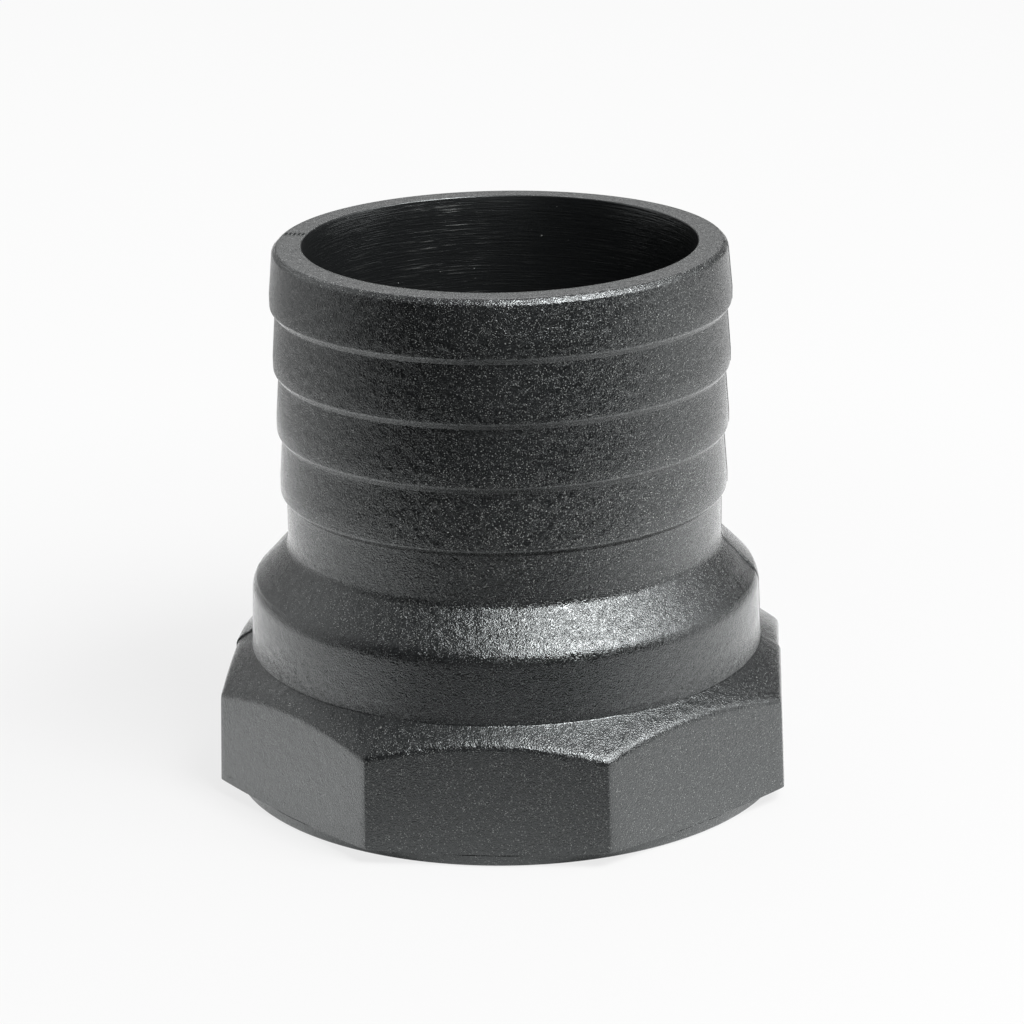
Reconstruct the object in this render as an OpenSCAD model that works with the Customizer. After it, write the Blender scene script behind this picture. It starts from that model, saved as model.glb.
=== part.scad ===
// Through-hull hose adapter: one moulded piece with a ribbed hose tail, a
// shoulder, a collar, an eight-sided spanner flange and a threaded socket.
// Millimetres. The origin is the centre of the bottom face and +Z runs along
// the bore towards the hose end.

/* [Bore and rim] */
// Height from the bottom face to the rim of the hose tail
overall_height = 62.0; // [60:0.1:70]
// Inside diameter of the bore through the hose tail
bore_dia = 45.0; // [38:0.1:46]
// Outside diameter of the rim before its edge is rounded
rim_dia = 51.1; // [49:0.1:51.8]
// Radius on the outer edge of the rim
rim_round = 1.0; // [0.3:0.1:1.4]
// Radius on the inner edge of the rim
bore_edge_round = 0.4; // [0.2:0.05:0.8]

/* [Hose tail ribs] */
// Number of ribs down the tail
rib_count = 4; // [2:1:4]
// Length of the first rib, from the rim down to the foot of its step
first_rib_length = 7.45; // [6:0.05:9]
// Spacing from one step to the next
rib_pitch = 7.18; // [5:0.02:7.6]
// Diameter over the crest of the first rib
crest_dia = 52.0; // [51.2:0.1:56]
// How much smaller in diameter each further crest is
crest_fall = 0.3; // [0:0.05:0.4]
// Length of the straight land on a crest, down to where the step would begin unrounded
crest_land = 1.4; // [1:0.1:2.2]
// Depth of a step, from a crest back in to the next rib
step_depth = 0.55; // [0.3:0.05:0.8]
// Length of a step along the tail
step_length = 0.65; // [0.5:0.05:1.2]
// Radius of the curve from a crest into its step
crest_round = 2.0; // [0.5:0.1:2.2]

/* [Neck and shoulder] */
// Diameter of the neck below the last rib
neck_dia = 49.8; // [48.5:0.1:50.2]
// Radius between the neck and the shoulder
neck_fillet = 1.5; // [0.4:0.1:2]
// Slope of the shoulder below the horizontal, in degrees
shoulder_angle = 46; // [35:1:55]
// Height at which the shoulder and the collar would meet unrounded
shoulder_height = 22.8; // [20.5:0.1:25]
// Radius over the top of the collar
shoulder_round = 2.6; // [0.8:0.1:3]

/* [Collar] */
// Diameter at the top of the collar
collar_top_dia = 58.4; // [56:0.1:58.8]
// Diameter at the foot of the collar
collar_foot_dia = 59.0; // [58.6:0.1:61]
// Height of the foot of the collar
collar_foot_height = 15.25; // [14:0.05:17]
// Radius in the corner at the foot of the collar
collar_foot_fillet = 0.3; // [0.1:0.05:0.6]

/* [Spanner flange] */
// Number of flats
flat_count = 8; // [6:2:12]
// Distance across the flats at their lower edge
across_flats = 64.7; // [64.4:0.1:70]
// Lean of each flat towards the axis as it rises, in degrees
face_draft = 2.2; // [0:0.1:3]
// Diameter to which the corners are turned off
corner_dia = 69.7; // [67:0.1:70]
// Slope of the flange top below the horizontal, in degrees
flange_top_angle = 33.5; // [20:0.5:40]
// Rise of the flange underside towards the corners, in degrees
flange_under_angle = 10; // [4:1:15]

/* [Sealing ring] */
// Diameter of the ring under the flange
ring_dia = 64.4; // [60:0.1:64.4]
// Height of the ring
ring_height = 1.25; // [0.8:0.05:2]

/* [Threaded socket] */
// Major diameter of the parallel pipe thread, which is the socket wall
thread_major_dia = 47.8; // [47:0.1:50]
// Depth of the threaded wall from the bottom face
socket_depth = 18.5; // [14:0.1:22]
// Width of the chamfer at the mouth of the socket
socket_chamfer = 1.0; // [0.3:0.1:1.5]
// Slope of the run-out between the thread and the bore, in degrees
run_out_angle = 45; // [30:1:60]

/* [Hidden] */
$fn = 96;

socket_r = thread_major_dia / 2;
bore_r = bore_dia / 2;
neck_r = neck_dia / 2;
collar_top_r = collar_top_dia / 2;
collar_foot_r = collar_foot_dia / 2;
corner_r = corner_dia / 2;
ring_r = ring_dia / 2;
face_r = across_flats / 2;

// Top of the sloped shoulder, where it would meet the neck unrounded
neck_foot = shoulder_height + (collar_top_r - neck_r) * tan(shoulder_angle);
// The flange top and underside where they pass the turned corners
corner_top = collar_foot_height - (corner_r - collar_foot_r) * tan(flange_top_angle);
corner_bottom = ring_height + (corner_r - ring_r) * tan(flange_under_angle);
corner_top_r = corner_r - (corner_top - corner_bottom) * tan(face_draft);
corner_top_z = collar_foot_height - (corner_top_r - collar_foot_r) * tan(flange_top_angle);
run_out = (socket_r - bore_r) * tan(run_out_angle);

function crest_r(i) = (crest_dia - i * crest_fall) / 2;
function step_z(i) = overall_height - first_rib_length - i * rib_pitch;
function root_r(i) = i < rib_count - 1 ? crest_r(i) - step_depth : neck_r;
function root(i) = [root_r(i), step_z(i)];
function crest_foot(i) = [crest_r(i), step_z(i) + step_length];
function crest_head(i) = crest_foot(i) + [0, crest_land];
// The curve into a step, held short of the foot of the step
function step_drop(i) = atan((crest_r(i) - root_r(i)) / step_length);
function step_curve(i) =
  min(crest_round, 0.95 * norm(crest_foot(i) - root(i)) / tan(step_drop(i) / 2));
function unit(v) = v / norm(v);

rim_corner = [rim_dia / 2, overall_height];
shoulder_top = [neck_r, neck_foot];
shoulder_edge = [collar_top_r, shoulder_height];
collar_foot = [collar_foot_r, collar_foot_height];
flange_edge = [corner_top_r, corner_top_z];

// Space between the corner b of the path a, b, c and an arc of radius r that
// rounds it. The arc is drawn a little wide of tangent, so that it crosses both
// sides, and the space reaches past them by a share of the radius.
module corner_space(a, b, c, r) {
  u = unit(a - b);
  v = unit(c - b);
  half = acos(u * v) / 2;
  centre = b + unit(u + v) * (r / sin(half));
  side_a = b + u * (r / tan(half)) - centre;
  side_c = b + v * (r / tan(half)) - centre;
  reach = 1.3;
  wide = 1.004;
  difference() {
    polygon([centre, centre + side_a * reach, centre + (b - centre) * reach,
             centre + side_c * reach]);
    translate(centre) circle(r = r * wide);
  }
}

// Half section of the outside, turned down to the flange corners
module outer_section() {
  difference() {
    union() {
      polygon(concat(
        [[0, 0], [ring_r, 0], [ring_r, ring_height],
         [corner_r, corner_bottom], flange_edge, collar_foot,
         shoulder_edge, shoulder_top],
        [for (k = [rib_count - 1 : -1 : 0]) each
          [root(k), crest_foot(k), crest_head(k)]],
        [rim_corner, [0, overall_height]]
      ));
      corner_space([neck_r, neck_foot + 5], shoulder_top, shoulder_edge, neck_fillet);
      corner_space(shoulder_edge, collar_foot, flange_edge, collar_foot_fillet);
    }
    corner_space([0, overall_height], rim_corner, crest_head(0), rim_round);
    corner_space(shoulder_top, shoulder_edge, collar_foot, shoulder_round);
    for (k = [0 : rib_count - 1])
      corner_space(crest_head(k), crest_foot(k), root(k), step_curve(k));
  }
}

// Half section of the passage: socket mouth, threaded wall, run-out and bore,
// with the rounded inner edge of the rim
module passage_section() {
  polygon([[-1, -1], [socket_r + socket_chamfer + 1, -1],
           [socket_r, socket_chamfer], [socket_r, socket_depth],
           [bore_r, socket_depth + run_out], [bore_r, overall_height + 1],
           [-1, overall_height + 1]]);
  corner_space([bore_r, 0], [bore_r, overall_height], [bore_r + 5, overall_height],
               bore_edge_round);
}

// Eight leaning blocks that leave the spanner flats
module flat_cutters() {
  block = 24;
  for (k = [0 : flat_count - 1])
    rotate(k * 360 / flat_count)
      translate([face_r + ring_height * tan(face_draft), 0, 0])
        rotate([0, -face_draft, 0])
          translate([0, -block, -block / 4]) cube([block, 2 * block, block * 1.2]);
}

module adapter_body() {
  color([0.10, 0.105, 0.11])
  difference() {
    rotate_extrude() difference() {
      outer_section();
      passage_section();
    }
    flat_cutters();
  }
}

adapter_body();
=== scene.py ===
"""Looks of the through-hull hose adapter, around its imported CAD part.

The file is laid out as a Blender add-on and is run as a script. The adapter is one
moulding, so one piece stands for the CAD solid: a section turned round the bore and cut
back to the spanner flats by a node tree. The thread ridge in the socket is a second
piece that rides on the same body. Everything is in metres, in the frame of the CAD part:
+Z runs along the bore and the bottom face lies on the floor.
"""

import math

import bpy
import numpy as np
from bpy.props import FloatProperty, FloatVectorProperty, IntProperty, PointerProperty
from mathutils import Matrix, Vector


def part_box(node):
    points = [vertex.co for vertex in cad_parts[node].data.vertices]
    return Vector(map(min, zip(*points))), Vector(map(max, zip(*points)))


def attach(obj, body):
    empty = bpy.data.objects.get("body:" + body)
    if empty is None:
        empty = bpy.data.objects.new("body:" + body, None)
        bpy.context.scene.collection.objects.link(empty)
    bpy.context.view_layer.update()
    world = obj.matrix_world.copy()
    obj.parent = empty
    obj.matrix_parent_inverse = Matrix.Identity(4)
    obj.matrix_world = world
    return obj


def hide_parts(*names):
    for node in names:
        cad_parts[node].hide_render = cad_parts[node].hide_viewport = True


bl_info = {
    "name": "Through-hull Hose Adapter",
    "version": (1, 0, 0),
    "blender": (4, 5, 0),
    "location": "3D View > Sidebar > Adapter",
    "description": "Builds the moulded hose adapter, its socket thread and its studio",
    "category": "Add Mesh",
}

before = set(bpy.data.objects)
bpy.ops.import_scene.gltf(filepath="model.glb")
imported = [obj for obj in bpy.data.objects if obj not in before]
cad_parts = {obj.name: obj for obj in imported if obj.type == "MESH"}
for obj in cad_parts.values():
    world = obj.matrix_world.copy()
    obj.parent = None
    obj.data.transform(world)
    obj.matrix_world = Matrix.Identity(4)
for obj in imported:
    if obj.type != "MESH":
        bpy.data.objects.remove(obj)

BODY = "root"
SOLID = "adapter_body"
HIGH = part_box(SOLID)[1]
MM = 0.001
# Faces that meet at a sharper angle than this have a crisp edge between them
CRISP_ANGLE = math.radians(38)
# A tree that gives fewer faces than this has failed
FEWEST_FACES = 100
# Points closer together than this become one
WELD = 1e-6
# A point of the section closer than this to an end face lies on it
SKIN = 0.0001
# Spacing longer than any straight of the section, which then gets no further points
UNCUT = 9.0
# How far the tail and the shoulder move with the mould halves, against the flange
TAIL_SHARE = 0.25
SHOULDER_SHARE = 0.8
# From the middle of the adapter to each softbox
LAMP_DISTANCE = 0.6


# Settings of the moulding, its finish and the studio


def length(label, default, text):
    """A size in metres, shown in the scene's units."""
    return FloatProperty(
        name=label, description=text, default=default, min=0.0, precision=5,
        subtype="DISTANCE", unit="LENGTH",
    )


def slope(label, degrees, text):
    """An angle, given here in degrees."""
    return FloatProperty(
        name=label, description=text, default=math.radians(degrees),
        subtype="ANGLE", unit="ROTATION",
    )


def share(label, default, text, top=1.0):
    """A plain number from nought to its top value."""
    return FloatProperty(name=label, description=text, default=default, min=0.0, max=top)


def colour(label, default, text):
    """A colour in linear light."""
    return FloatVectorProperty(
        name=label, description=text, default=default, size=3, min=0.0, max=1.0,
        subtype="COLOR",
    )


class AdapterSizes(bpy.types.PropertyGroup):
    """Sizes of the moulding. Most repeat the CAD part's, the rest are its finer form."""

    height: length("Height", HIGH.z, "From the bottom face to the rim")
    bore_radius: length("Bore radius", 0.0225, "Inside radius of the hose tail")
    rim_radius: length("Rim radius", 0.02555, "Outside radius of the rim")
    rim_chamfer: length("Rim chamfer", 0.00056, "Chamfer on the outer edge of the rim")
    rim_round: length("Rim round", 0.00055, "Radius on the edges of that chamfer")
    bore_round: length("Bore edge round", 0.00015, "Radius on the inner edge of the rim")
    bore_top: length("Bore top radius", 0.0222, "Inside radius of the drafted bore at the rim")
    rim_lean: length("Rim lean", 0.00042, "How much lower the rim is at its front")
    ribs: IntProperty(name="Ribs", description="Ribs down the tail", default=4, min=1)
    first_rib: length("First rib", 0.00745, "From the rim to the foot of its step")
    rib_pitch: length("Rib pitch", 0.00718, "Spacing from one step to the next")
    crest_radius: length("Crest radius", 0.026, "Radius over the first crest")
    crest_fall: length("Crest fall", 0.00015, "How much less each further crest is")
    crest_land: length("Crest land", 0.0014, "Straight land on a crest")
    step_depth: length("Step depth", 0.00055, "From a crest in to the next rib")
    step_length: length("Step length", 0.00065, "Length of a step along the tail")
    crest_round: length("Crest round", 0.0006, "Radius from a crest into its step")
    step_fillet: length("Step fillet", 0.00008, "Radius at the foot of a step")
    neck_radius: length("Neck radius", 0.0249, "Radius of the neck below the ribs")
    neck_fillet: length("Neck fillet", 0.0015, "Radius between neck and shoulder")
    shoulder_slope: slope("Shoulder slope", 46, "Slope below the horizontal")
    shoulder_height: length("Shoulder height", 0.0228, "Where shoulder meets collar")
    shoulder_round: length("Shoulder round", 0.0026, "Radius over the collar's top")
    collar_top: length("Collar top radius", 0.0292, "Radius at the collar's top")
    collar_foot: length("Collar foot radius", 0.0295, "Radius at the collar's foot")
    foot_height: length("Collar foot height", 0.01525, "Height of the collar's foot")
    foot_fillet: length("Foot fillet", 0.0003, "Radius in the corner at the foot")
    flats: IntProperty(name="Flats", description="Spanner flats", default=8, min=3)
    half_flats: length("Half across flats", 0.03223, "From the axis to a flat")
    draft: slope("Draft", 2.2, "Lean of each flat towards the axis as it rises")
    corner_radius: length("Corner radius", 0.03485, "Radius over the turned corners")
    flange_slope: slope("Flange slope", 31.5, "Slope of the flange top")
    under_slope: slope("Underside slope", 10, "Rise of the underside to the corners")
    ring_radius: length("Ring radius", 0.0322, "Radius of the ring under the flange")
    ring_height: length("Ring height", 0.00125, "Height of that ring")
    ring_round: length("Ring round", 0.00022, "Radius on the ring's lower edge")
    ring_groove: length("Ring groove", 0.00008, "Depth of the groove above the ring")
    socket_radius: length("Socket radius", 0.0239, "Radius of the threaded wall")
    socket_depth: length("Socket depth", 0.0185, "Depth of the threaded wall")
    mouth_chamfer: length("Mouth chamfer", 0.001, "Chamfer at the socket's mouth")
    run_out: slope("Run-out", 45, "Slope between the thread and the bore")
    thread_pitch: length("Thread pitch", 0.0023091, "From one turn to the next")
    top_soft: length("Top edge softness", 0.0014, "Softness of the flats' top edge")
    under_soft: length("Lower edge softness", 0.0003, "Softness of the lower edge")
    corner_soft: length("Corner softness", 0.0004, "Softness of the upright edges")
    mismatch: length("Mould mismatch", 0.00022, "Offset of the two mould halves")
    flash: length("Flash", 0.00005, "Height of the flash on the parting line")
    wave: length("Waviness", 0.00002, "Unevenness of the moulded surface")


class AdapterFinish(bpy.types.PropertyGroup):
    """Finish of the glass-filled plastic."""

    base: colour("Plastic", (0.0052, 0.0057, 0.0060), "Colour of the plastic")
    speck: colour("Speck", (0.30, 0.31, 0.30), "Colour of the fibre ends and dust")
    roughness: share("Roughness", 0.25, "Roughness of the outside")
    bore_roughness: share("Bore roughness", 0.3, "Roughness of the bore")
    grain: length("Grain", 0.00016, "Size of the moulded grain")
    grain_depth: length("Grain depth", 0.000075, "Depth of the moulded grain")
    coarse_grain: length("Coarse grain", 0.001, "Size of the slower unevenness")
    bend_size: length("Bend size", 0.0011, "Size of the noise that bends the grain")
    bend_reach: length("Bend reach", 0.0008, "How far that noise moves the grain")
    cloud_size: length("Cloud size", 0.009, "Size of the paler and darker patches")
    streak_size: length("Streak size", 0.0055, "Length of the turned lines")
    streak_depth: length("Streak depth", 0.00006, "Depth of the turned lines")
    fibre_spacing: length("Fibre spacing", 0.00016, "From one fibre end to the next")
    fibre_share: share("Fibre share", 1.0, "How far a fibre end shows the speck colour")
    # This share also sets how pale the painted glint in the bore is
    line_and_glint_share: share("Line share", 0.4, "How far a turned line shows that colour")
    dust_spacing: length("Dust spacing", 0.0014, "From one grain of dust to the next")
    pit_turn: slope("Pit line", 174.3, "Where the row of pits crosses the rim, from +X")
    pit_spacing: length("Pit spacing", 0.0005, "From one pit to the next")
    pit_reach: length("Pit reach", 0.0007, "From the row's middle to the pits' ends")


class StudioSettings(bpy.types.PropertyGroup):
    """Camera and light of the studio."""

    azimuth: slope("Azimuth", 4.5, "Camera's turn from the front, to the right")
    elevation: slope("Elevation", 18.339, "Camera's height above the horizontal")
    roll: slope("Roll", -0.957, "Camera's turn about its own line of sight")
    distance: length("Distance", 0.36835, "From the camera to the point it faces")
    aim: FloatVectorProperty(
        name="Aim", description="Point that the camera faces", size=3,
        default=(0.0008548, 0.0000647, 0.0298173), subtype="TRANSLATION", unit="LENGTH",
    )
    lens: FloatProperty(
        name="Lens", description="Focal length in millimetres", default=112.5, min=1.0,
    )
    floor: colour("Floor", (0.42, 0.42, 0.42), "Colour of the floor")
    # The floor glow is a painted glow of the floor, which only reflections see
    glow: share("Floor glow", 1.15, "Level of the lit floor in reflections", 2.0)
    key: share("Key", 24.0, "Radiance of the softbox at the front right", 40.0)
    wing: share("Key wing", 7.6, "Radiance of the softbox beside it, to the right", 40.0)
    overhead: share("Overhead", 1.25, "Radiance of the softbox above the object", 40.0)
    side: share("Side", 1.7, "Radiance of the panel at the right", 40.0)
    back: share("Back", 1.45, "Radiance of the panel behind the object", 40.0)
    left: share("Left", 0.7, "Radiance of the panel at the left", 40.0)
    low: share("Low front", 0.39, "Radiance of the panel below the camera", 40.0)
    surround: share("Surround", 0.24, "Light level behind and beside the object", 4.0)
    front: share("Front", 0.0, "Light level on the camera's side", 4.0)


# Node trees


class Wire:
    """An output socket of a node, with signs that add Math nodes to its tree."""

    def __init__(self, graph, socket):
        self.graph = graph
        self.socket = socket

    def of(self, name):
        """Another output of the same node, by its identifier or name."""
        for socket in self.socket.node.outputs:
            if name in (socket.identifier, socket.name):
                return Wire(self.graph, socket)
        raise KeyError(name)

    def math(self, operation, *others):
        sockets = dict(enumerate((self, *others)))
        return self.graph.node("ShaderNodeMath", {"operation": operation}, sockets)

    def __add__(self, other):
        return self.math("ADD", other)

    def __mul__(self, other):
        return self.math("MULTIPLY", other)

    def __sub__(self, other):
        return self.math("SUBTRACT", other)

    def __truediv__(self, other):
        return self.math("DIVIDE", other)

    def __pow__(self, other):
        return self.math("POWER", other)

    def __gt__(self, other):
        return self.math("GREATER_THAN", other)

    def __lt__(self, other):
        return self.math("LESS_THAN", other)

    def __rsub__(self, other):
        return self.graph.node(
            "ShaderNodeMath", {"operation": "SUBTRACT"}, {0: other, 1: self}
        )

    def __rtruediv__(self, other):
        return self.graph.node(
            "ShaderNodeMath", {"operation": "DIVIDE"}, {0: other, 1: self}
        )

    __radd__ = __add__
    __rmul__ = __mul__

    def clamped(self, low=0.0, high=1.0):
        return self.math("MAXIMUM", low).math("MINIMUM", high)

    def ramp(self, start, end):
        """Nought before start and one after end, with a smooth turn between them."""
        return self.graph.node(
            "ShaderNodeMapRange", {"interpolation_type": "SMOOTHSTEP"},
            {"Value": self, "From Min": start, "From Max": end},
        )


class Graph:
    """A node tree that is built by calls."""

    def __init__(self, tree):
        self.tree = tree
        tree.nodes.clear()

    def node(self, kind, settings=None, sockets=None):
        """Adds a node: its settings first, then the values or links of its sockets."""
        node = self.tree.nodes.new(kind)
        for name, value in (settings or {}).items():
            setattr(node, name, value)
        for key, value in (sockets or {}).items():
            if isinstance(key, int):
                socket = node.inputs[key]
            else:
                socket = next(s for s in node.inputs if key in (s.identifier, s.name))
            if isinstance(value, Wire):
                self.tree.links.new(value.socket, socket)
            else:
                socket.default_value = value
        return Wire(self, node.outputs[0]) if node.outputs else None

    def vector(self, x=0.0, y=0.0, z=0.0):
        return self.node("ShaderNodeCombineXYZ", None, {"X": x, "Y": y, "Z": z})

    def split(self, vector):
        parts = self.node("ShaderNodeSeparateXYZ", None, {"Vector": vector})
        return parts, parts.of("Y"), parts.of("Z")

    def stretched(self, vector, x, y, z):
        """The vector with its three parts scaled."""
        return self.node(
            "ShaderNodeVectorMath", {"operation": "MULTIPLY"}, {0: vector, 1: (x, y, z)}
        )


class ShapeGraph(Graph):
    """A geometry node tree with named inputs."""

    def __init__(self, name):
        super().__init__(bpy.data.node_groups.new(name, "GeometryNodeTree"))
        self.tree.interface.new_socket("Geometry", in_out="OUTPUT",
                                       socket_type="NodeSocketGeometry")
        self.entry = self.tree.nodes.new("NodeGroupInput")

    def input(self, name, kind="Float"):
        """Adds a named input and returns its wire."""
        item = self.tree.interface.new_socket(
            name, in_out="INPUT", socket_type="NodeSocket" + kind
        )
        socket = next(s for s in self.entry.outputs if s.identifier == item.identifier)
        return Wire(self, socket)

    def finish(self, geometry, material):
        """Smooth faces with crisp edges, then Realize Instances and Set Material."""
        angle = self.node("GeometryNodeInputMeshEdgeAngle")
        smooth = self.node(
            "GeometryNodeSetShadeSmooth", {"domain": "FACE"}, {"Geometry": geometry}
        )
        crisp = self.node(
            "GeometryNodeSetShadeSmooth", {"domain": "EDGE"},
            {"Geometry": smooth, "Selection": angle > CRISP_ANGLE,
             "Shade Smooth": False},
        )
        real = self.node("GeometryNodeRealizeInstances", None, {"Geometry": crisp})
        dressed = self.node(
            "GeometryNodeSetMaterial", None, {"Geometry": real, "Material": material}
        )
        self.node("NodeGroupOutput", None, {"Geometry": dressed})


def grown(name, outline, tree, values):
    """Runs a node tree on an outline and leaves its result as a plain mesh."""
    piece = bpy.data.objects.new(name, outline)
    bpy.context.scene.collection.objects.link(piece)
    modifier = piece.modifiers.new("Shape", "NODES")
    modifier.node_group = tree
    for item in tree.interface.items_tree:
        if item.in_out == "INPUT" and item.name in values:
            modifier[item.identifier] = values[item.name]
    bpy.context.view_layer.update()
    graph = bpy.context.evaluated_depsgraph_get()
    mesh = bpy.data.meshes.new_from_object(piece.evaluated_get(graph), depsgraph=graph)
    piece.modifiers.remove(modifier)
    piece.data = mesh
    mesh.name = name
    bpy.data.meshes.remove(outline)
    if len(mesh.polygons) < FEWEST_FACES:
        raise RuntimeError(f"{name}: the node tree gave no shape")
    return piece


# Section of the moulding


def arc(before, corner, after, radius, steps):
    """Points of the arc that rounds a corner of the section."""
    before, corner, after = (np.array(p, float) for p in (before, corner, after))
    u = (before - corner) / np.linalg.norm(before - corner)
    v = (after - corner) / np.linalg.norm(after - corner)
    half = math.acos(max(-1.0, min(1.0, float(u @ v)))) / 2
    centre = corner + (u + v) / np.linalg.norm(u + v) * radius / math.sin(half)
    start, end = (corner + w * radius / math.tan(half) - centre for w in (u, v))
    first = math.atan2(start[1], start[0])
    turn = math.atan2(start[0] * end[1] - start[1] * end[0], float(start @ end))
    return [
        tuple(centre + radius * np.array([math.cos(a), math.sin(a)]))
        for a in (first + turn * i / steps for i in range(steps + 1))
    ]


def tail_corners(s):
    """Corners of the tail from the lowest step up, for rounded_path."""
    longest_share = 0.9
    corners = []
    for i in reversed(range(s.ribs)):
        foot = s.height - s.first_rib - i * s.rib_pitch
        crest = s.crest_radius - i * s.crest_fall
        root = crest - s.step_depth if i < s.ribs - 1 else s.neck_radius
        drop = math.atan2(crest - root, s.step_length)
        slant = math.hypot(crest - root, s.step_length)
        longest = longest_share * (slant - s.step_fillet) / math.tan(drop / 2)
        corners += [
            (root, foot, s.step_fillet, 3, UNCUT),
            (crest, foot + s.step_length, min(s.crest_round, longest), 9, UNCUT),
            (crest, foot + s.step_length + s.crest_land, 0.0, 0, 0.0012),
        ]
    return corners


def rounded_path(corners, before_first=None):
    """Points of a path with its arcs, and with points along its longer straights.

    A corner holds r, z, the radius of its arc, the steps of that arc and the widest
    spacing of the points from there to the next corner.
    """
    points = []
    for i, (r, z, radius, steps, _) in enumerate(corners):
        before = corners[i - 1][:2] if i else before_first
        after = corners[i + 1][:2] if i + 1 < len(corners) else None
        if radius and before and after:
            turned = arc(before, (r, z), after, radius, steps)
        else:
            turned = [(r, z)]
        if points:
            start, end = np.array(points[-1]), np.array(turned[0])
            spacing = corners[i - 1][4]
            cuts = max(1, math.ceil(math.dist(start, end) / spacing))
            points += [tuple(start + (end - start) * k / cuts) for k in range(1, cuts)]
        points += turned
    return points


def flange_rows(s):
    """Heights of the flange's rows, close together where its edges are."""
    cone_drop = (s.corner_radius - s.collar_foot) * math.tan(s.flange_slope)
    corner_top = s.foot_height - cone_drop
    rows = [s.ring_height]
    # Lower edge, flats, upper edge and cone: where each band ends, and its rows
    for band_top, count in (
        (s.ring_height + 0.00056, 14),
        (corner_top - 0.0003, 15),
        (s.foot_height - 0.0011, 30),
        (s.foot_height - 0.00035, 3),
    ):
        rows += list(np.linspace(rows[-1], band_top, count + 1)[1:])
    return rows[1:]


def half_share(s, r, z, mouth):
    """How far a point of the outside moves with its mould half, from -1 to 1."""
    rim_band = 0.001
    above_shoulder = z - s.shoulder_height
    if z < SKIN:
        share_here = (r - mouth) / (s.ring_radius - mouth)
    elif z > s.height - rim_band:
        share_here = (s.bore_radius - r) / (s.rim_radius - s.bore_radius) * TAIL_SHARE
    elif 0.0004 < above_shoulder < 0.0021:
        share_here = -SHOULDER_SHARE
    else:
        share_here = 1.0 if z < s.foot_height else -TAIL_SHARE
    return max(-1.0, min(1.0, share_here))


def section_points(s):
    """The whole section as a closed loop of (r, z, share of the mould halves, flange)."""
    run_top = s.socket_depth + (s.socket_radius - s.bore_radius) * math.tan(s.run_out)
    neck_foot = s.shoulder_height + (s.collar_top - s.neck_radius) * math.tan(
        s.shoulder_slope
    )
    mouth = s.socket_radius + s.mouth_chamfer
    # A point out on the flange top, from which the collar's foot is rounded
    cone_run = 0.003
    cone = (s.collar_foot + cone_run, s.foot_height - cone_run * math.tan(s.flange_slope))
    below = rounded_path([
        (mouth, 0.0, 0.0, 0, 0.0012),
        (s.ring_radius, 0.0, s.ring_round, 4, 0.0005),
        (s.ring_radius, s.ring_height - s.ring_groove, 0.0, 0, UNCUT),
        (s.ring_radius - s.ring_groove, s.ring_height, 0.0, 0, UNCUT),
    ])
    above = rounded_path([
        (s.collar_foot, s.foot_height, s.foot_fillet, 4, 0.0008),
        (s.collar_top, s.shoulder_height, s.shoulder_round, 12, 0.0008),
        (s.neck_radius, neck_foot, s.neck_fillet, 9, 0.001),
        *tail_corners(s),
        (s.rim_radius, s.height - s.rim_chamfer, s.rim_round, 5, UNCUT),
        (s.rim_radius - s.rim_chamfer, s.height, s.rim_round, 5, 0.0006),
        (s.bore_top, s.height, s.bore_round, 4, 0.0025),
        (s.bore_radius, run_top, 0.0, 0, 0.0005),
        (s.socket_radius, s.socket_depth, 0.0, 0, 0.0022),
        (s.socket_radius, s.mouth_chamfer, 0.0, 0, 0.0005),
        (mouth, 0.0, 0.0, 0, UNCUT),
    ], cone)[:-1]
    loop = [(r, z, 0.0) for r, z in below]
    loop += [(s.corner_radius, z, 1.0) for z in flange_rows(s)]
    loop += [(r, z, 0.0) for r, z in above]
    # The inside starts where the path has crossed the rim
    edge_width = 0.001
    rows = []
    outer = True
    for r, z, flange in loop:
        if z > s.height - SKIN and r < s.bore_radius + edge_width:
            outer = False
        rows.append((r, z, half_share(s, r, z, mouth) if outer else 0.0, flange))
    return rows


def loop_mesh(name, points):
    """A closed loop of points in the XZ plane, joined by edges."""
    mesh = bpy.data.meshes.new(name)
    count = len(points)
    mesh.from_pydata(
        [(p[0], 0.0, p[1]) for p in points], [(i, (i + 1) % count) for i in range(count)], []
    )
    return mesh


# Shapes


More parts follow.
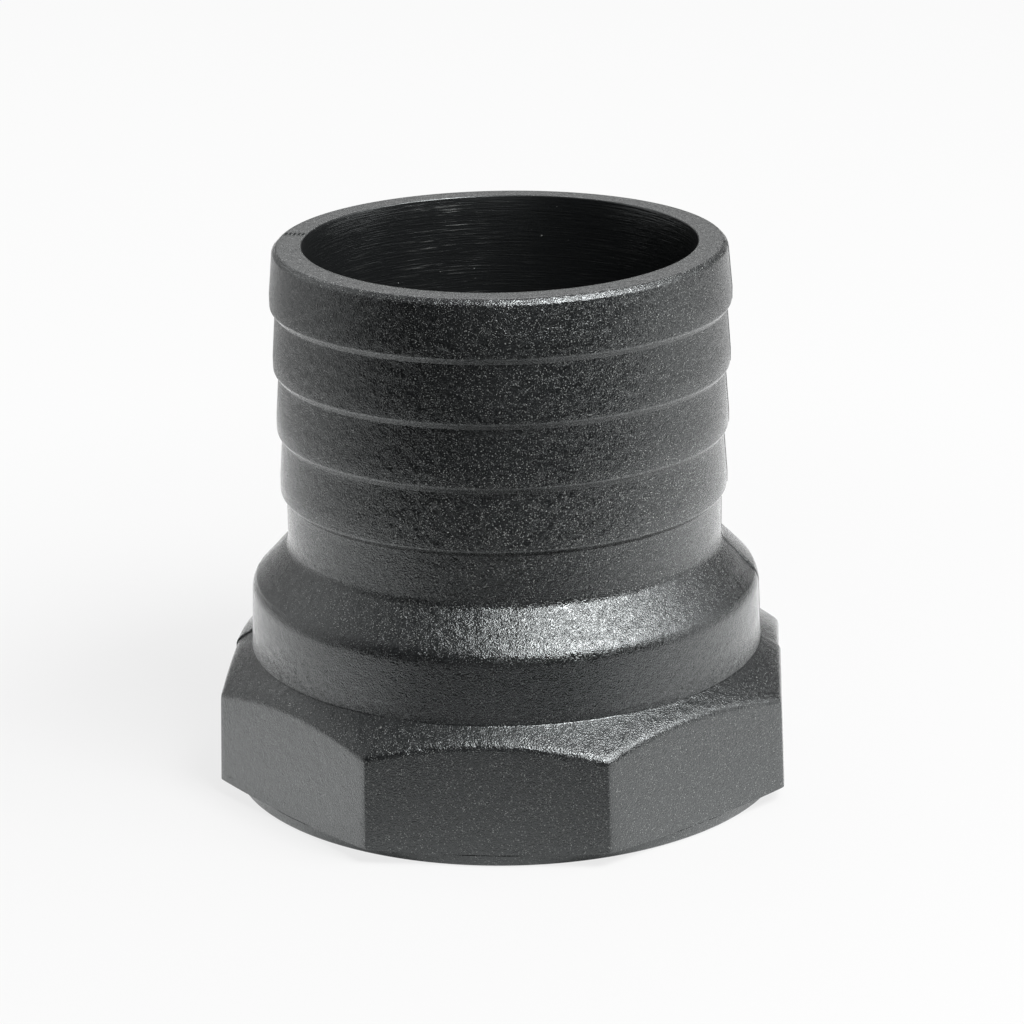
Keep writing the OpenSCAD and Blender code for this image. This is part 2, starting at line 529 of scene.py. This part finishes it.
def moulding_tree():
    """Turns a section round the bore, cuts the flats and parts the mould halves."""
    g = ShapeGraph("turned_moulding")
    section = g.input("Section", "Geometry")
    flats = g.input("Flats", "Int")
    steps = g.input("Columns per Flat", "Int")
    half_flats = g.input("Half Across Flats")
    draft = g.input("Draft Tangent")
    corner_radius = g.input("Corner Radius")
    corner_height = g.input("Corner Height")
    cone_radius = g.input("Flange Top Radius")
    cone_height = g.input("Flange Top Height")
    cone_slope = g.input("Flange Top Tangent")
    under_slope = g.input("Underside Tangent")
    ring_radius = g.input("Ring Radius")
    ring_height = g.input("Ring Height")
    top_soft = g.input("Top Edge Softness")
    under_soft = g.input("Lower Edge Softness")
    corner_soft = g.input("Corner Softness")
    mismatch = g.input("Mould Mismatch")
    flash = g.input("Flash")
    flash_turn = g.input("Flash Half Angle")
    wave = g.input("Waviness")
    wave_size = g.input("Wave Size")
    lean = g.input("Rim Lean")
    lean_foot = g.input("Lean Foot Height")
    lean_top = g.input("Lean Top Height")
    material = g.input("Material", "Material")

    rows = g.node(
        "GeometryNodeAttributeDomainSize", {"component": "MESH"}, {"Geometry": section}
    )
    # Each half closes with a column of its own, and there are three lines of flash
    columns = flats * steps
    spare = 5
    grid = g.node("GeometryNodeMeshGrid", None, {
        "Vertices X": columns + spare, "Vertices Y": rows + 1,
    })
    index = g.node("GeometryNodeInputIndex")
    column = ((index + 0.5) / (rows + 1)).math("FLOOR")
    row = (index - column * (rows + 1)).math("MODULO", rows)

    def sampled(kind, value):
        return g.node(
            "GeometryNodeSampleIndex", {"data_type": kind},
            {"Geometry": section, "Value": value, "Index": row},
        )

    radius, _, z = g.split(
        sampled("FLOAT_VECTOR", g.node("GeometryNodeInputPosition"))
    )
    halves, flange = (
        sampled("FLOAT", g.node("GeometryNodeInputNamedAttribute", None, {"Name": name}))
        for name in ("halves", "flange")
    )

    # Columns: the back half, then the front half, with a line of flash before each
    half = columns / 2
    front = column > half + 2.5
    line = (column < 0.5) + ((column - half - 2).math("ABSOLUTE") < 0.5) + (
        column > columns + 3.5
    )
    first, last = front * half, (front + 1) * half
    place = (column - 1 - front * 2).math("MAXIMUM", first).math("MINIMUM", last)
    along = place / steps + 0.5
    side = along.math("FLOOR")
    across = (along - side) * 2 - 1
    # The columns crowd towards the corners
    crowding = 1.55
    bent = across.math("SIGN") * (1 - (1 - across.math("ABSOLUTE")) ** crowding)
    turn = math.tau / flats
    at_start = (place - first).math("ABSOLUTE") < 0.5
    at_end = (last - place).math("ABSOLUTE") < 0.5
    beside = (at_start - at_end) * (1 - line) * flash_turn
    theta = (side + bent * 0.5) * turn + beside
    from_flat = bent * turn * 0.5

    # Flange: the least of the flat, the turned corner, the top cone and the underside
    flat = (half_flats - (z - ring_height) * draft) / from_flat.math("COSINE")
    corner = corner_radius - (z - corner_height) * draft
    cone = cone_radius + (cone_height - z) / cone_slope
    under = ring_radius + (z - ring_height) / under_slope
    blank = flat.math("SMOOTH_MIN", corner, corner_soft)
    blank = blank.math("SMOOTH_MIN", cone, top_soft)
    least = ring_radius + ring_height - z
    blank = blank.math("SMOOTH_MIN", under, under_soft).math("MAXIMUM", least)
    radius = radius + flange * (blank - radius)

    spot = g.vector(theta.math("COSINE") * radius, theta.math("SINE") * radius, z)
    uneven = g.node("ShaderNodeTexNoise", None, {
        "Vector": spot, "Scale": 1 / wave_size, "Detail": 1.0,
    })
    outside = halves.math("ABSOLUTE")
    radius = radius - uneven * wave * outside + line * flash * outside
    shift = (front * 2 - 1) * (1 - line) * mismatch * halves * 0.5
    # The rim leans only towards the front
    lean_power = 3
    ahead = (0.5 - theta.math("SINE") * 0.5) ** lean_power
    sink = z.ramp(lean_foot, lean_top) * ahead * lean
    position = g.vector(
        theta.math("COSINE") * radius + shift, theta.math("SINE") * radius, z - sink
    )
    placed = g.node(
        "GeometryNodeSetPosition", None, {"Geometry": grid, "Position": position}
    )
    closed = g.node(
        "GeometryNodeMergeByDistance", None, {"Geometry": placed, "Distance": WELD}
    )
    g.finish(closed, material)
    return g.tree


def thread_tree():
    """Sweeps the section of the thread ridge up a helix and fades both its ends."""
    g = ShapeGraph("thread_ridge")
    section = g.input("Section", "Geometry")
    wall = g.input("Wall Radius")
    pitch = g.input("Pitch")
    turns = g.input("Turns")
    steps = g.input("Steps per Turn", "Int")
    start = g.input("Start Height")
    fade = g.input("Fade Turns")
    material = g.input("Material", "Material")
    helix = g.node("GeometryNodeCurveSpiral", None, {
        "Resolution": steps, "Rotations": turns, "Start Radius": wall,
        "End Radius": wall, "Height": pitch * turns, "Reverse": True,
    })
    raised = g.node("GeometryNodeSetPosition", None, {
        "Geometry": helix, "Offset": g.vector(z=start),
    })
    upright = g.node("GeometryNodeSetCurveNormal", {"mode": "Z_UP"}, {"Curve": raised})
    along = g.node("GeometryNodeSplineParameter") * turns
    ends = along.math("MINIMUM", turns - along) / fade
    # The fade starts a little before the end, where the ridge keeps some size
    before_end = -0.02
    size = ends.ramp(before_end, 1.0)
    profile = g.node("GeometryNodeMeshToCurve", None, {"Mesh": section})
    ridge = g.node("GeometryNodeCurveToMesh", None, {
        "Curve": upright, "Profile Curve": profile, "Scale": size, "Fill Caps": True,
    })
    g.finish(g.node("GeometryNodeFlipFaces", None, {"Mesh": ridge}), material)
    return g.tree


def ridge_points(pitch):
    """Section of a 55 degree pipe thread ridge: depth into the bore, place along it."""
    sharp = 0.960491 * pitch
    cut = sharp / 6
    radius = 0.137329 * pitch
    half = pitch / 2
    apex, foot = sharp - cut, -cut
    root = [
        p for p in arc((0.0, apex), (half, foot), (pitch, apex), radius, 8) if p[0] <= half
    ]
    crest = arc((-half, foot), (0.0, apex), (half, foot), radius, 8)
    embed = 0.00012
    sunk = 0.00001
    points = [(-x, y) for x, y in reversed(root)] + crest + root
    points = [(-half, -embed)] + [(x, y - sunk) for x, y in points] + [(half, -embed)]
    return [(-y, x) for x, y in points]


# Plastic


def plastic_material(sizes, finish):
    """Black glass-filled plastic: moulded grain outside, turned lines in the bore, and painted
    light in a few places.
    """
    material = bpy.data.materials.new("glass_filled_plastic")
    material.use_nodes = True
    g = Graph(material.node_tree)
    place = g.node("ShaderNodeTexCoord").of("Object")
    x, y, z = g.split(place)
    radius = (x * x + y * y) ** 0.5

    def noise(vector, size, detail=2.0, roughness=0.5):
        return g.node("ShaderNodeTexNoise", None, {
            "Vector": vector, "Scale": 1 / size, "Detail": detail, "Roughness": roughness,
        })

    # Zones of the surface: one inside and nought elsewhere
    draft = (sizes.bore_radius - sizes.bore_top) / (sizes.height - sizes.socket_depth)
    wall = sizes.bore_radius - (z - sizes.socket_depth) * draft
    bore = (1 - (radius - wall).ramp(0.00005, 0.00015)) * (z > sizes.socket_depth)
    tail = z.ramp(sizes.shoulder_height, sizes.shoulder_height + 0.002)
    flange = 1 - z.ramp(sizes.foot_height - 0.001, sizes.foot_height)
    # A band over the lower ribs, where the fibre ends are made paler as a painted sparkle of
    # the key light
    sparkle_band = z.ramp(0.029, 0.034) * (1 - z.ramp(0.039, 0.045))

    # Bent coordinates, so that no regular lattice shows in the grain and the dots
    bend = noise(place, finish.bend_size, detail=1.0).of("Color")
    bent = g.node("ShaderNodeVectorMath", {"operation": "MULTIPLY_ADD"},
                  {0: bend, 1: (finish.bend_reach,) * 3, 2: place})
    coarse = noise(place, finish.coarse_grain, detail=1.0)
    grain = noise(bent, finish.grain, detail=1.0) + coarse * 0.35
    streak_thinness = 28
    stretched = g.stretched(place, 1, 1, streak_thinness)
    streaks = noise(stretched, finish.streak_size, detail=3.0, roughness=0.62)
    cloud = noise(place, finish.cloud_size, detail=3.0, roughness=0.6)

    def dots(size, part, radius, soft):
        """Round dots of differing strength in some cells of a Voronoi pattern."""
        cells = g.node("ShaderNodeTexVoronoi", None, {"Vector": bent, "Scale": 1 / size})
        pick, strength, _ = g.split(cells.of("Color"))
        return (pick > 1 - part) * (1 - cells.ramp(radius * soft, radius)) * (
            strength * strength
        )

    # The fibre ends are real specks. Their extra paleness on the lower ribs is painted sparkle
    fibres = dots(finish.fibre_spacing, part=0.95, radius=0.42, soft=0.4) * (
        0.35 + tail * 0.55 + sparkle_band * 0.55 + flange * 0.3
    )
    dust = dots(finish.dust_spacing, part=0.5, radius=0.06, soft=0.6)

    # The turned lines are pale marks all over the bore. On a patch at its far left they are
    # made much paler, a painted glint
    glint_side, glint_reach = -0.37, 0.34
    aside = (x / radius - glint_side).math("ABSOLUTE") / glint_reach
    glint_patch = (1 - aside.ramp(0.2, 1.0)) * (y > 0) * z.ramp(0.044, 0.056)
    lines_and_glints = streaks.ramp(0.58, 0.74) * cloud.ramp(0.4, 0.6) * (0.12 + glint_patch * 0.88)

    # A row of small pits across the rim, where the two halves of the mould meet. Their bump
    # gives them real depth. Their colour is darkened and set to metal, which paints shade into
    # them
    off_line = x * math.sin(finish.pit_turn) - y * math.cos(finish.pit_turn)
    near_line = (1 - off_line.math("ABSOLUTE") / finish.pit_reach).clamped()
    in_row = (radius * (math.tau / finish.pit_spacing)).math("SINE") > -0.3
    on_rim = (z > sizes.height - 0.0004) * (x < 0) * (1 - bore)
    shaded_pits = near_line * in_row * on_rim

    pale = dust + (
        fibres * (1 - bore) * finish.fibre_share + lines_and_glints * bore * finish.line_and_glint_share
    )
    tint = g.node("ShaderNodeMix", {"data_type": "RGBA"}, {
        "Factor_Float": pale.clamped(),
        "A_Color": (*finish.base, 1.0), "B_Color": (*finish.speck, 1.0),
    }).of("Result_Color")
    # Paler and darker clouds, and painted shade in the pits
    shade = (0.8 + cloud * 0.4) * (1 - shaded_pits)
    tint = g.node("ShaderNodeVectorMath", {"operation": "SCALE"},
                  {0: tint, "Scale": shade})
    outside = finish.roughness + (coarse - 0.5) * 0.08 + shaded_pits * 0.5
    roughness = outside + bore * (finish.bore_roughness - outside)
    grain_height = grain * (1 - bore) * (0.95 + tail * 0.15) * (finish.grain_depth / MM)
    streak_height = streaks * bore * (finish.streak_depth / MM)
    height = grain_height + streak_height - shaded_pits * 0.5
    normal = g.node("ShaderNodeBump", None, {
        "Strength": 1.0, "Distance": MM, "Height": height,
    })
    # Metal in the pits, over the near-black colour, paints them dark as shade
    surface = g.node("ShaderNodeBsdfPrincipled", None, {
        "Base Color": tint, "Roughness": roughness, "Metallic": shaded_pits, "IOR": 1.7,
        "Normal": normal, "Specular Tint": (0.95, 0.995, 1.0, 1.0),
    })
    g.node("ShaderNodeOutputMaterial", None, {"Surface": surface})
    return material


def shared_plastic(scene):
    """The plastic, made once and used by both pieces."""
    found = bpy.data.materials.get("glass_filled_plastic")
    return found or plastic_material(scene.adapter_sizes, scene.adapter_finish)


# Operators and stage


class ADAPTER_OT_moulding(bpy.types.Operator):
    """Build the moulded body of the adapter in place of its CAD solid"""

    bl_idname = "adapter.moulding"
    bl_label = "Moulded Body"

    def execute(self, context):
        s = context.scene.adapter_sizes
        rows = section_points(s)
        outline = loop_mesh("moulding_section", rows)
        for name, column in (("halves", 2), ("flange", 3)):
            layer = outline.attributes.new(name, "FLOAT", "POINT")
            layer.data.foreach_set("value", [row[column] for row in rows])
        under = math.tan(s.under_slope)
        piece = grown("moulded_body", outline, moulding_tree(), {
            "Flats": s.flats,
            "Columns per Flat": 44,
            "Half Across Flats": s.half_flats,
            "Draft Tangent": math.tan(s.draft),
            "Corner Radius": s.corner_radius,
            "Corner Height": s.ring_height + (s.corner_radius - s.ring_radius) * under,
            "Flange Top Radius": s.collar_foot,
            "Flange Top Height": s.foot_height,
            "Flange Top Tangent": math.tan(s.flange_slope),
            "Underside Tangent": under,
            "Ring Radius": s.ring_radius - s.ring_groove,
            "Ring Height": s.ring_height,
            "Top Edge Softness": s.top_soft,
            "Lower Edge Softness": s.under_soft,
            "Corner Softness": s.corner_soft,
            "Mould Mismatch": s.mismatch,
            "Flash": s.flash,
            "Flash Half Angle": 0.0016,
            "Waviness": s.wave,
            "Wave Size": 0.009,
            "Rim Lean": s.rim_lean,
            "Lean Foot Height": s.height - 0.006,
            "Lean Top Height": s.height - 0.001,
            "Material": shared_plastic(context.scene),
        })
        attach(piece, BODY)
        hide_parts(SOLID)
        return {"FINISHED"}


class ADAPTER_OT_thread(bpy.types.Operator):
    """Build the thread ridge inside the socket"""

    bl_idname = "adapter.thread"
    bl_label = "Socket Thread"

    def execute(self, context):
        s = context.scene.adapter_sizes
        start = s.mouth_chamfer + s.thread_pitch * 0.55
        reach = s.socket_depth - s.thread_pitch * 0.45 - start
        outline = loop_mesh("ridge_section", ridge_points(s.thread_pitch))
        outline.transform(Matrix.Rotation(-math.pi / 2, 4, "X"))
        piece = grown("thread_ridge", outline, thread_tree(), {
            "Wall Radius": s.socket_radius,
            "Pitch": s.thread_pitch,
            "Turns": reach / s.thread_pitch,
            "Steps per Turn": 96,
            "Start Height": start,
            "Fade Turns": 0.3,
            "Material": shared_plastic(context.scene),
        })
        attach(piece, BODY)
        return {"FINISHED"}


class ADAPTER_OT_studio(bpy.types.Operator):
    """Set up the floor, the light and the camera"""

    bl_idname = "adapter.studio"
    bl_label = "Studio"

    def execute(self, context):
        scene = context.scene
        s = scene.adapter_studio
        lay_floor(scene, s)
        light_world(scene, s)
        for name, radiance, azimuth, elevation, width, height in (
            ("key_softbox", s.key, 45, 52, 0.27, 0.24),
            ("wing_softbox", s.wing, 68, 50, 0.32, 0.3),
            ("overhead_softbox", s.overhead, 60, 82, 0.3, 0.3),
            ("side_panel", s.side, 98, 26, 0.38, 0.55),
            ("back_panel", s.back, 190, 37, 0.6, 0.35),
            ("left_panel", s.left, 255, 24, 0.6, 0.6),
            ("low_panel", s.low, 5, 8, 0.4, 0.3),
        ):
            hang_softbox(scene, name, radiance, azimuth, elevation, width, height)
        place_camera(scene, s)
        scene.view_settings.view_transform = "Standard"
        return {"FINISHED"}


def floor_material(s):
    """Matt and pale. The camera sees it nearly white, reflections see a painted glow on parts
    of it.
    """
    material = bpy.data.materials.new("pale_floor")
    material.use_nodes = True
    g = Graph(material.node_tree)
    x, y, _ = g.split(g.node("ShaderNodeTexCoord").of("Object"))
    away = (x * x + y * y + 1e-6) ** 0.5
    behind = y / away

    # Painted light: for reflections only, parts of the floor glow, a pool beside and behind
    # the object, a rim close round it, a front strip and the far end. The glow is left out of
    # a disc inside the bore, painted shade there
    pool_x, pool_y, pool_edge, pool_end = 0.008, 0.05, 0.11, 0.145
    reach = ((x - pool_x) * (x - pool_x) + (y - pool_y) * (y - pool_y)) ** 0.5
    pool = behind.ramp(-0.9, -0.72) * (1 - reach.ramp(pool_edge, pool_end))
    dim_edge, dim_end, dimming = 0.055, 0.08, 0.16
    close_right = (x / away).ramp(0.4, 0.9) * (1 - away.ramp(dim_edge, dim_end))
    pool = pool * (1 - close_right * dimming)
    ahead = 1 - behind.ramp(-0.97, -0.86)
    rim_edge, rim_end, rim_level, rim_loss = 0.037, 0.043, 0.8, 0.6
    rim = (1 - away.ramp(rim_edge, rim_end)) * (1 - pool) * (rim_level - ahead * rim_loss)
    strip_edge, strip_end, strip_level = 0.06, 0.085, 0.12
    strip = ahead * (1 - away.ramp(strip_edge, strip_end)) * strip_level
    far_start, far_full = 0.15, 0.4
    far_end = behind.ramp(0.7, 0.95) * away.ramp(far_start, far_full)
    disc_edge, disc_end = 0.024, 0.031
    painted_glow_zones = (pool + rim + strip + far_end) * away.ramp(disc_edge, disc_end)

    # The shadow shows through the white, most of all close to the object
    paleness, shadow_share, shadow_edge, shadow_end = 0.93, 0.14, 0.045, 0.17
    white = paleness - (1 - away.ramp(shadow_edge, shadow_end)) * shadow_share
    rays = g.node("ShaderNodeLightPath")
    seen = (rays + rays.of("Is Transmission Ray")).clamped() * white
    # Painted reflection: the floor glows only for glossy rays, in the zones above
    glow = rays.of("Is Glossy Ray") * painted_glow_zones * s.glow
    matt = g.node("ShaderNodeBsdfPrincipled", None, {
        "Base Color": (*s.floor, 1.0), "Roughness": 1.0, "Specular IOR Level": 0.0,
        "Emission Color": g.vector(glow, glow, glow), "Emission Strength": 1.0,
    })
    bright = g.node("ShaderNodeEmission", None, {"Color": (1, 1, 1, 1), "Strength": 1.0})
    mixed = g.node("ShaderNodeMixShader", None, {0: seen, 1: matt, 2: bright})
    g.node("ShaderNodeOutputMaterial", None, {"Surface": mixed})
    return material


def lay_floor(scene, s):
    """A pale sheet just under the object, which keeps the object's shadow."""
    left, right, near, far, low = -0.9, 0.9, -0.075, 1.4, -0.0001
    mesh = bpy.data.meshes.new("floor")
    corners = ((left, near, low), (right, near, low), (right, far, low), (left, far, low))
    mesh.from_pydata(corners, [], [(0, 1, 2, 3)])
    mesh.materials.append(floor_material(s))
    floor = bpy.data.objects.new("floor", mesh)
    scene.collection.objects.link(floor)


def light_world(scene, s):
    """White behind the object, pale beside it and dim on the camera's side."""
    world = bpy.data.worlds.new("studio")
    world.use_nodes = True
    scene.world = world
    g = Graph(world.node_tree)
    direction = g.node("ShaderNodeTexCoord").of("Generated")
    _, back, _ = g.split(direction)
    dim_end, pale_start = -0.75, 0.15
    level = s.front + back.ramp(dim_end, pale_start) * (s.surround - s.front)
    light = g.node("ShaderNodeBackground", None, {"Color": (1, 1, 1, 1), "Strength": level})
    white = g.node("ShaderNodeBackground", None, {"Color": (1, 1, 1, 1), "Strength": 1.0})
    seen = g.node("ShaderNodeLightPath")
    mixed = g.node("ShaderNodeMixShader", None, {0: seen, 1: light, 2: white})
    g.node("ShaderNodeOutputWorld", None, {"Surface": mixed})


def hang_softbox(scene, name, radiance, azimuth, elevation, width, height):
    """A soft light that faces the object. Its azimuth is counted from the front."""
    light = bpy.data.lights.new(name, "AREA")
    light.shape = "RECTANGLE"
    light.size, light.size_y = width, height
    light.energy = radiance * math.pi * width * height
    lamp = bpy.data.objects.new(name, light)
    across, up = math.radians(azimuth), math.radians(elevation)
    away = Vector((
        math.sin(across) * math.cos(up), -math.cos(across) * math.cos(up), math.sin(up)
    ))
    middle = Vector((0, 0, HIGH.z / 2))
    lamp.matrix_world = Matrix.Translation(middle + away * LAMP_DISTANCE) @ (
        away.to_track_quat("Z", "Y").to_matrix().to_4x4()
    )
    lamp.visible_camera = False
    scene.collection.objects.link(lamp)


def place_camera(scene, s):
    """The photograph's viewpoint."""
    camera = bpy.data.cameras.new("camera")
    camera.lens = s.lens
    camera.sensor_width = 36.0
    camera.clip_start = 0.01
    level = math.cos(s.elevation)
    back = Vector((
        math.sin(s.azimuth) * level, -math.cos(s.azimuth) * level, math.sin(s.elevation)
    ))
    right = Vector((0, 0, 1)).cross(back).normalized()
    turned = Matrix.Rotation(s.roll, 3, back) @ right
    up = back.cross(turned)
    rotation = Matrix((turned, up, back)).transposed().to_4x4()
    viewer = bpy.data.objects.new("camera", camera)
    viewer.matrix_world = Matrix.Translation(Vector(s.aim) + back * s.distance) @ rotation
    scene.collection.objects.link(viewer)
    scene.camera = viewer


class ADAPTER_PT_panel(bpy.types.Panel):
    """Steps and settings of the adapter"""

    bl_idname = "ADAPTER_PT_panel"
    bl_label = "Hose Adapter"
    bl_space_type = "VIEW_3D"
    bl_region_type = "UI"
    bl_category = "Adapter"

    def draw(self, context):
        for operator in OPERATORS:
            self.layout.operator(operator.bl_idname)
        for group in GROUPS:
            box = self.layout.box()
            values = getattr(context.scene, group)
            for name in GROUPS[group].__annotations__:
                box.prop(values, name)


OPERATORS = (ADAPTER_OT_moulding, ADAPTER_OT_thread, ADAPTER_OT_studio)
GROUPS = {
    "adapter_sizes": AdapterSizes,
    "adapter_finish": AdapterFinish,
    "adapter_studio": StudioSettings,
}


def register():
    for kind in (*GROUPS.values(), *OPERATORS, ADAPTER_PT_panel):
        bpy.utils.register_class(kind)
    for name, kind in GROUPS.items():
        setattr(bpy.types.Scene, name, PointerProperty(type=kind))


def unregister():
    for name in GROUPS:
        delattr(bpy.types.Scene, name)
    for kind in (ADAPTER_PT_panel, *reversed(OPERATORS), *GROUPS.values()):
        bpy.utils.unregister_class(kind)


def main():
    """Registers the add-on, builds every piece and sets up the studio."""
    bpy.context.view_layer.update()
    register()
    bpy.ops.adapter.moulding()
    bpy.ops.adapter.thread()
    bpy.ops.adapter.studio()


if __name__ == "__main__":
    main()
